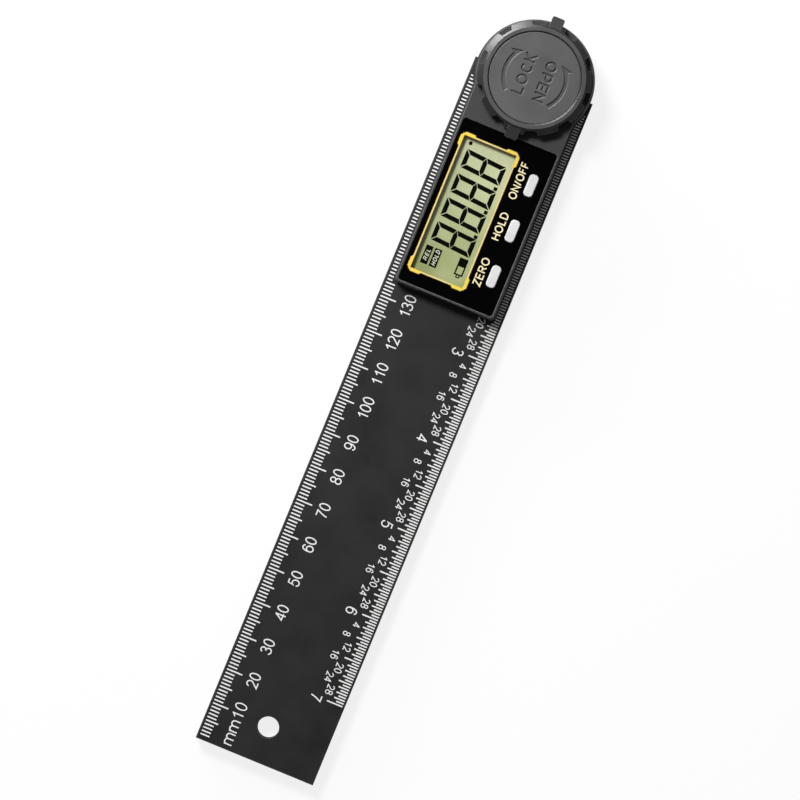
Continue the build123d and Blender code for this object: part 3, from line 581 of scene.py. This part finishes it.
# Each character has its width as a share of its height, and strokes in a box of 1 by 1. A stroke
# is a list of points along its middle, and a ring is a closed one.
CHARACTERS = {
    "0": (0.57, [("ring", ring(0.5, 0.5, 0.5, 0.5))]),
    "1": (0.33, [("line", [(1, 0), (1, 1)]), ("line", [(1, 0.95), (0.5, 0.8), (0, 0.7)])]),
    "2": (0.56, [("line", arc(0.5, 0.71, 0.5, 0.29, 172, -38) + [(0, 0), (1, 0)])]),
    "3": (0.56, [
        ("line", arc(0.47, 0.76, 0.43, 0.24, 165, -95)),
        ("line", arc(0.47, 0.27, 0.53, 0.27, 95, -165)),
    ]),
    "4": (0.62, [("line", [(0.74, 0), (0.74, 1)]), ("line", [(0.74, 0.97), (0, 0.27), (1, 0.27)])]),
    "5": (0.57, [("line", [(0.9, 1), (0.2, 1)] + arc(0.47, 0.33, 0.53, 0.33, 148, -160))]),
    "6": (0.57, [
        ("ring", ring(0.5, 0.32, 0.5, 0.32)),
        ("line", arc(0.53, 0.5, 0.53, 0.5, 40, 200)),
    ]),
    "7": (0.56, [("line", [(0, 1), (1, 1), (0.62, 0.56), (0.42, 0.25), (0.33, 0)])]),
    "8": (0.57, [("ring", ring(0.5, 0.76, 0.42, 0.24)), ("ring", ring(0.5, 0.27, 0.5, 0.27))]),
    "9": (0.57, [
        ("ring", ring(0.5, 0.68, 0.5, 0.32)),
        ("line", arc(0.47, 0.5, 0.53, 0.5, 220, 380)),
    ]),
    "m": (0.94, [
        ("line", [(0, 0), (0, 0.72)]),
        ("line", arc(0.25, 0.48, 0.25, 0.24, 180, 0) + [(0.5, 0)]),
        ("line", arc(0.75, 0.48, 0.25, 0.24, 180, 0) + [(1, 0)]),
    ]),
    "O": (0.86, [("ring", ring(0.5, 0.5, 0.5, 0.5))]),
    "N": (0.72, [("line", [(0, 0), (0, 1), (1, 0), (1, 1)])]),
    "F": (0.6, [("line", [(0, 0), (0, 1), (1, 1)]), ("line", [(0, 0.52), (0.85, 0.52)])]),
    "H": (0.72, [
        ("line", [(0, 0), (0, 1)]),
        ("line", [(1, 0), (1, 1)]),
        ("line", [(0, 0.52), (1, 0.52)]),
    ]),
    "L": (0.58, [("line", [(0, 1), (0, 0), (1, 0)])]),
    "D": (0.74, [
        ("ring", [(0, 0), (0, 1), (0.35, 1)] + arc(0.4, 0.5, 0.6, 0.5, 75, -75) + [(0.35, 0)]),
    ]),
    "Z": (0.66, [("line", [(0, 1), (1, 1), (0, 0), (1, 0)])]),
    "E": (0.64, [("line", [(1, 1), (0, 1), (0, 0), (1, 0)]), ("line", [(0, 0.52), (0.9, 0.52)])]),
    "R": (0.7, [
        ("line", (
            [(0, 0), (0, 1), (0.55, 1)]
            + arc(0.62, 0.75, 0.36, 0.25, 75, -75)
            + [(0.55, 0.5), (0, 0.5)]
        )),
        ("line", [(0.55, 0.5), (1, 0)]),
    ]),
    "/": (0.34, [("line", [(0, 0), (1, 1)])]),
}


def mitred(points, width, closed):
    """The left and right edges of a stroke of one width along flat points."""
    left, right = [], []
    last = len(points) - 1
    for i, point in enumerate(points):
        ahead = points[(i + 1) % len(points)] if closed or i < last else None
        behind = points[i - 1] if closed or i > 0 else None
        out = (ahead - point).normalized() if ahead else (point - behind).normalized()
        into = (point - behind).normalized() if behind else out
        middle = (into + out).normalized()
        reach = width / 2 / max(middle.dot(out), MITRE_LEAST)
        across = Vector((-middle.y, middle.x)) * reach
        left.append(point + across)
        right.append(point - across)
    return left, right


def placed(name, data):
    """A new object in the scene."""
    made = bpy.data.objects.new(name, data)
    bpy.context.scene.collection.objects.link(made)
    return made


class Print:
    """Flat marks gathered in one mesh, slightly proud of the face that they are printed on.

    Characters lean forward by a share of their height.
    """

    def __init__(self, face, lean=0.0):
        self.face = face
        self.lean = lean
        self.marks = 0
        self.vertices = []
        self.faces = []

    def heights(self):
        """The under and upper heights of the next mark."""
        self.marks += 1
        return self.face - INK_SINK, self.face + INK + INK_STEP * (self.marks % INK_LAYERS)

    def area(self, outline):
        """A filled mark with a convex outline, counter-clockwise."""
        under, upper = self.heights()
        count = len(outline)
        low = range(len(self.vertices), len(self.vertices) + count)
        high = range(low.stop, low.stop + count)
        self.vertices += [(x, y, under) for x, y in outline] + [(x, y, upper) for x, y in outline]
        self.faces += [tuple(high), tuple(reversed(low))]
        for i in range(count):
            j = (i + 1) % count
            self.faces.append((low[i], low[j], high[j], high[i]))

    def bar(self, x_from, x_to, y, width):
        """A bar across the ruler."""
        x_low, x_high = sorted((x_from, x_to))
        low, high = y - width / 2, y + width / 2
        self.area([(x_low, low), (x_high, low), (x_high, high), (x_low, high)])

    def stroke(self, points, width, closed=False):
        """A line of one width along flat points, with square ends."""
        under, upper = self.heights()
        left, right = mitred([Vector(p) for p in points], width, closed)
        start = len(self.vertices)
        for a, b in zip(left, right):
            self.vertices += [(a.x, a.y, under), (b.x, b.y, under)]
            self.vertices += [(b.x, b.y, upper), (a.x, a.y, upper)]
        count = len(points)
        for i in range(count if closed else count - 1):
            here, there = start + 4 * i, start + 4 * ((i + 1) % count)
            for k in range(4):
                m = (k + 1) % 4
                self.faces.append((here + k, here + m, there + m, there + k))
        if not closed:
            end = start + 4 * (count - 1)
            self.faces.append((start + 3, start + 2, start + 1, start))
            self.faces.append((end, end + 1, end + 2, end + 3))

    def character(self, name, left, reading, size, height, width):
        """A character of a size along its reading direction, from the point at its lower left."""
        along, up = Vector(reading), Vector((-reading[1], reading[0]))
        for kind, points in CHARACTERS[name][1]:
            path = [
                left + along * (width / 2 + u * (size - width) + v * height * self.lean)
                + up * (width / 2 + v * (height - width))
                for u, v in points
            ]
            self.stroke(path, width, closed=kind == "ring")

    def word(self, text, foot, reading, height, width, gap, span):
        """Text with the middle of its baseline at a point, fitted to a span."""
        sizes = [CHARACTERS[c][0] * height for c in text]
        scale = span / (sum(sizes) + gap * (len(text) - 1))
        place = -span / 2
        for name, size in zip(text, sizes):
            left = Vector(foot) + Vector(reading) * place
            self.character(name, left, reading, size * scale, height, width)
            place += (size + gap) * scale

    def number(self, text, foot, reading, height, width, cell):
        """Digits with the middle of their baseline at a point, each in the middle of its cell."""
        for i, name in enumerate(text):
            size = CHARACTERS[name][0] * height
            place = (i - (len(text) - 1) / 2) * cell - size / 2
            left = Vector(foot) + Vector(reading) * place
            self.character(name, left, reading, size, height, width)

    def piece(self, name, material, body):
        """The finished piece, riding on its body."""
        mesh = bpy.data.meshes.new(name)
        mesh.from_pydata([tuple(c * MM for c in v) for v in self.vertices], [], self.faces)
        mesh.validate()
        mesh.materials.append(material)
        made = placed(name, mesh)
        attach(made, body)


def free_from(y, on_front):
    """Distance from the middle of the ruler beyond which a face is free for print at y."""
    if not on_front:
        return sqrt(max(0, BACK_ARM_PRINT_RADIUS**2 - y**2))
    hub = sqrt(HUB_RADIUS**2 - y**2) + PRINT_CLEAR if -HUB_RADIUS < y else 0.0
    foot = HOUSING_FOOT + PRINT_CLEAR if y > HOUSING_END - PRINT_CLEAR else 0.0
    return max(hub, foot)


def tick(marks, side, y, start, end, on_front):
    """One tick from a distance inside the edge to another, where the face is free."""
    inner = max(EDGE - end, free_from(y, on_front))
    if EDGE - start - inner > SHORTEST_TICK:
        marks.bar(side * (EDGE - start), side * inner, y, TICK_WIDTH)


def tick_end(step, ends):
    """How far inside the edge a tick ends, by the largest spacing that divides its step."""
    return next(end for spacing, end in ends.items() if step % spacing == 0)


def word_is_free(y, span, on_front):
    """True where a word centred at y is clear of the housing or, on the back arm, of the hub."""
    limit = HOUSING_END + PRINT_CLEAR if on_front else -BACK_ARM_PRINT_RADIUS
    return y + span / 2 < limit


def print_millimetres(arm, face, on_front, white):
    """Ticks and numbers along the -X edge."""
    ticks, numbers = Print(face), Print(face)
    foot_x = MM_NUMBER_TOP + NUMBER_HEIGHT - EDGE
    style = (TO_KNOB, NUMBER_HEIGHT, NUMBER_STROKE, NUMBER_CELL)
    for step in range(1, MM_LAST):
        y = MM_ZERO + step
        tick(ticks, -1, y, MM_TICK_START, tick_end(step, MM_TICK_ENDS), on_front)
        numbered = step % NUMBER_EVERY == 0 and step > NUMBER_EVERY
        if numbered and word_is_free(y, 2 * NUMBER_HEIGHT, on_front):
            text = str(step)
            shift = TWO_DIGIT_SHIFT if len(text) == 2 else 0.0
            numbers.number(text, (foot_x, y - shift), *style)
    for name, y in FIRST_PLACES:
        place = (FIRST_FOOT, y)
        numbers.number(name, place, TO_KNOB, FIRST_HEIGHT, NUMBER_STROKE, NUMBER_CELL)
    ticks.piece(f"{arm}_millimetre_ticks", white, arm)
    numbers.piece(f"{arm}_millimetre_numbers", white, arm)


def print_inches(arm, face, on_front, white):
    """Ticks and numbers along the +X edge."""
    ticks, numbers = Print(face), Print(face)
    whole_style = (TO_FREE_END, NUMBER_HEIGHT, NUMBER_STROKE, NUMBER_CELL)
    part_style = (TO_FREE_END, PART_NUMBER_HEIGHT, PART_NUMBER_STROKE, PART_NUMBER_CELL)
    for step in range(1, INCH_LAST * INCH_PARTS + 1):
        y = -step * INCH / INCH_PARTS
        tick(ticks, 1, y, INCH_TICK_START, tick_end(step, INCH_TICK_ENDS), on_front)
        part = step % INCH_PARTS
        if part == 0 and word_is_free(y, NUMBER_HEIGHT, on_front):
            foot = (EDGE - INCH_NUMBER_TOP - NUMBER_HEIGHT, y - INCH_NUMBER_SHIFT)
            numbers.number(str(step // INCH_PARTS), foot, *whole_style)
        elif part in PART_NUMBER_TOPS and word_is_free(y, PART_NUMBER_HEIGHT, on_front):
            foot_x = EDGE - PART_NUMBER_TOPS[part] - PART_NUMBER_HEIGHT
            numbers.number(str(part), (foot_x, y - PART_NUMBER_SHIFT), *part_style)
    ticks.piece(f"{arm}_inch_ticks", white, arm)
    numbers.piece(f"{arm}_inch_numbers", white, arm)


def print_scales():
    """Both scales on both arms."""
    white = ink("ink_white", "f7f7f5")
    for arm, face, on_front in (("front_arm", FRONT_FACE, True), ("back_arm", BACK_FACE, False)):
        print_millimetres(arm, face, on_front, white)
        print_inches(arm, face, on_front, white)


def segments(width, height):
    """Outlines of the seven segments of a digit in a box, with mitred ends."""
    t, g = SEGMENT, SEGMENT_GAP
    middle = height / 2
    top = [(g + t, height - t), (width - g - t, height - t), (width - g, height), (g, height)]
    left = [(0, middle + g / 2), (t, middle + t / 2 + g / 2), (t, height - t - g), (0, height - g)]
    bar = [
        (g, middle),
        (g + t, middle - t / 2),
        (width - g - t, middle - t / 2),
        (width - g, middle),
        (width - g - t, middle + t / 2),
        (g + t, middle + t / 2),
    ]

    def turned(outline):
        return [(width - x, height - y) for x, y in outline]

    def flipped_across(outline):
        return [(width - x, y) for x, y in reversed(outline)]

    right = flipped_across(left)
    return [top, turned(top), bar, left, turned(left), right, turned(right)]


def print_digits(digits):
    """The digits, all segments lit, each leaning forward in its span."""
    height = DIGIT_FOOT - DIGIT_TOP
    lean = height * tan(radians(DIGIT_SLANT))
    for start in DIGIT_STARTS:
        for outline in segments(DIGIT_SPAN - lean, height):
            digits.area([(DIGIT_FOOT - v, start + u + lean * v / height) for u, v in outline])


def print_points(signs):
    """The points between the digits and the round dot after them."""
    half = POINT_SIZE / 2
    for y in POINT_PLACES:
        signs.bar(POINT_X - half, POINT_X + half, y, POINT_SIZE)
    signs.area(ring(*DOT_PLACE, DOT_RADIUS, DOT_RADIUS))


def print_badges(signs, letters):
    """Words in pale letters on dark fields."""
    middle = (BADGE_START + BADGE_END) / 2
    for text, x_low, x_high, span in BADGES:
        signs.bar(x_low, x_high, middle, BADGE_END - BADGE_START)
        height = x_high - x_low - 2 * BADGE_MARGIN
        foot = (x_high - BADGE_MARGIN, middle)
        letters.word(text, foot, TO_KNOB, height, BADGE_STROKE, BADGE_GAP, span)


def print_battery(signs):
    """The battery sign: its outline, its charge and its hollow terminal."""
    (x_low, x_high), (y_low, y_high) = BATTERY_X, BATTERY_Y
    case = [(x_low, y_low), (x_high, y_low), (x_high, y_high), (x_low, y_high)]
    signs.stroke(case, BATTERY_STROKE, closed=True)
    signs.bar(x_low, x_high, y_high - BATTERY_CHARGE / 2, BATTERY_CHARGE)
    middle = (x_low + x_high) / 2
    wide, deep = BATTERY_TERMINAL
    left, right = middle - wide / 2, middle + wide / 2
    terminal = [(left, y_low), (left, y_low - deep), (right, y_low - deep), (right, y_low)]
    signs.stroke(terminal, TERMINAL_STROKE)


def print_display():
    """Digits, points and signs of the display, dark on the glass."""
    dark = ink("ink_display", "0b0b07", 0.2, specular=0.2)
    pale = ink("ink_display_pale", "eef0dc", 0.4)
    face = glass_high.z
    digits, signs, letters = Print(face), Print(face), Print(face + INK, BADGE_LEAN)
    print_digits(digits)
    print_points(signs)
    print_badges(signs, letters)
    print_battery(signs)
    digits.piece("display_digits", dark, "front_arm")
    signs.piece("display_signs", dark, "front_arm")
    letters.piece("display_sign_letters", pale, "front_arm")


def print_labels():
    """The words beside the three buttons."""
    words = Print(panel_high.z)
    for node, (text, span) in LABELS.items():
        low, high = box_mm(node)
        foot = (LABEL_X + LABEL_HEIGHT / 2, (low.y + high.y) / 2)
        words.word(text, foot, TO_KNOB, LABEL_HEIGHT, LABEL_STROKE, LABEL_GAP, span)
    words.piece("button_labels", ink("ink_cream", "fdeebb"), "front_arm")


def plane(name, size, height):
    """A level square."""
    half = size / 2
    corners = [(-half, -half), (half, -half), (half, half), (-half, half)]
    mesh = bpy.data.meshes.new(name)
    mesh.from_pydata([(x * MM, y * MM, height * MM) for x, y in corners], [], [(0, 1, 2, 3)])
    return placed(name, mesh)


def lay_floor():
    """Paper that shows white to the camera, and less so in mirror images."""
    floor = plane("studio_floor", FLOOR_SIZE, -FLOOR_DROP)
    paper = Finish("studio_paper", FLOOR_PAPER, roughness=0.9, specular=0.1)
    paper.colour(paper.shade(paper.patches(size=60, detail=3), low=0.99, high=1.0))
    path = paper.node("ShaderNodeLightPath").outputs
    image = paper.math("MAXIMUM", path["Is Glossy Ray"], path["Is Transmission Ray"])
    image = paper.math("MULTIPLY", image, FLOOR_MIRRORED)
    seen = paper.math("MAXIMUM", path["Is Camera Ray"], image)
    glow = paper.math("MULTIPLY", seen, FLOOR_GLOW)
    paper.shader.inputs["Emission Color"].default_value = WHITE
    paper.tree.links.new(glow, paper.shader.inputs["Emission Strength"])
    floor.data.materials.append(paper.done())


def hang_lamps(across, along):
    """Two soft lamps on one side, each facing the middle of the view."""
    middle = Vector((*VIEW_CENTRE, FRONT_FACE))
    for name, elevation, width, height, power in LAMPS:
        lamp = bpy.data.lights.new(name, "AREA")
        lamp.shape = "ELLIPSE"
        lamp.size = width * MM
        lamp.size_y = height * MM
        lamp.energy = power
        holder = placed(name, lamp)
        level = cos(radians(elevation))
        towards = Vector((across * level, along * level, sin(radians(elevation))))
        holder.location = (middle + towards * LAMP_DISTANCE) * MM
        holder.rotation_euler = towards.to_track_quat("Z", "Y").to_euler()


def light_world(across, along):
    """Soft light from all round, dark overhead and dim on the far side. The camera sees white."""
    world = bpy.data.worlds.new("studio")
    bpy.context.scene.world = world
    world.use_nodes = True
    nodes = Nodes(world.node_tree)
    place = nodes.node("ShaderNodeTexCoord").outputs["Generated"]
    height = nodes.node("ShaderNodeSeparateXYZ", {0: place}).outputs["Z"]
    ramp = nodes.node("ShaderNodeValToRGB", {"Fac": height})
    stops = ramp.color_ramp.elements
    while len(stops) < len(SKY):
        stops.new(0.5)
    for stop, (position, bright) in zip(stops, SKY):
        stop.position = position
        stop.color = (bright, bright, bright, 1)
    lamp_side = {0: place, 1: (across, along, 0)}
    lean = nodes.node("ShaderNodeVectorMath", lamp_side, operation="DOT_PRODUCT").outputs["Value"]
    strength = nodes.spread(lean, low=-1.0, high=1.0, to_low=SKY_FAR_SIDE, to_high=1.0)
    light = world.node_tree.nodes["Background"]
    world.node_tree.links.new(ramp.outputs["Color"], light.inputs["Color"])
    world.node_tree.links.new(strength, light.inputs["Strength"])
    white = nodes.node("ShaderNodeBackground", {"Color": WHITE})
    seen = nodes.node("ShaderNodeLightPath").outputs["Is Camera Ray"]
    both = nodes.node("ShaderNodeMixShader", {0: seen, 1: light.outputs[0], 2: white.outputs[0]})
    surface = world.node_tree.nodes["World Output"].inputs["Surface"]
    world.node_tree.links.new(both.outputs[0], surface)


def build_studio():
    """The floor, two soft lamps and a soft surrounding light."""
    lay_floor()
    across, along = Vector(LAMP_DIRECTION).normalized()
    hang_lamps(across, along)
    light_world(across, along)


def aim_camera():
    """The camera above the ruler, turned so that the ruler lies as in the photograph."""
    away = Vector((sin(radians(CAMERA_LEAN)), 0, cos(radians(CAMERA_LEAN))))
    turn = radians(RULER_TURN)
    right = Vector((cos(turn), sin(turn), 0))
    right = (right - right.dot(away) * away).normalized()
    pose = Matrix((right, away.cross(right), away)).transposed().to_4x4()
    pose.translation = (Vector((*VIEW_CENTRE, FRONT_FACE)) + away * CAMERA_DISTANCE) * MM
    data = bpy.data.cameras.new("camera")
    data.sensor_width = SENSOR
    data.lens = SENSOR * CAMERA_DISTANCE * PIXELS_PER_MM / PHOTO_WIDTH
    data.clip_start = CLIP_START
    data.clip_end = CLIP_END
    camera = placed("camera", data)
    camera.matrix_world = pose
    bpy.context.scene.camera = camera


dress_nodes()
print_scales()
print_display()
print_labels()
build_studio()
aim_camera()

bpy.context.scene.view_settings.view_transform = "Standard"
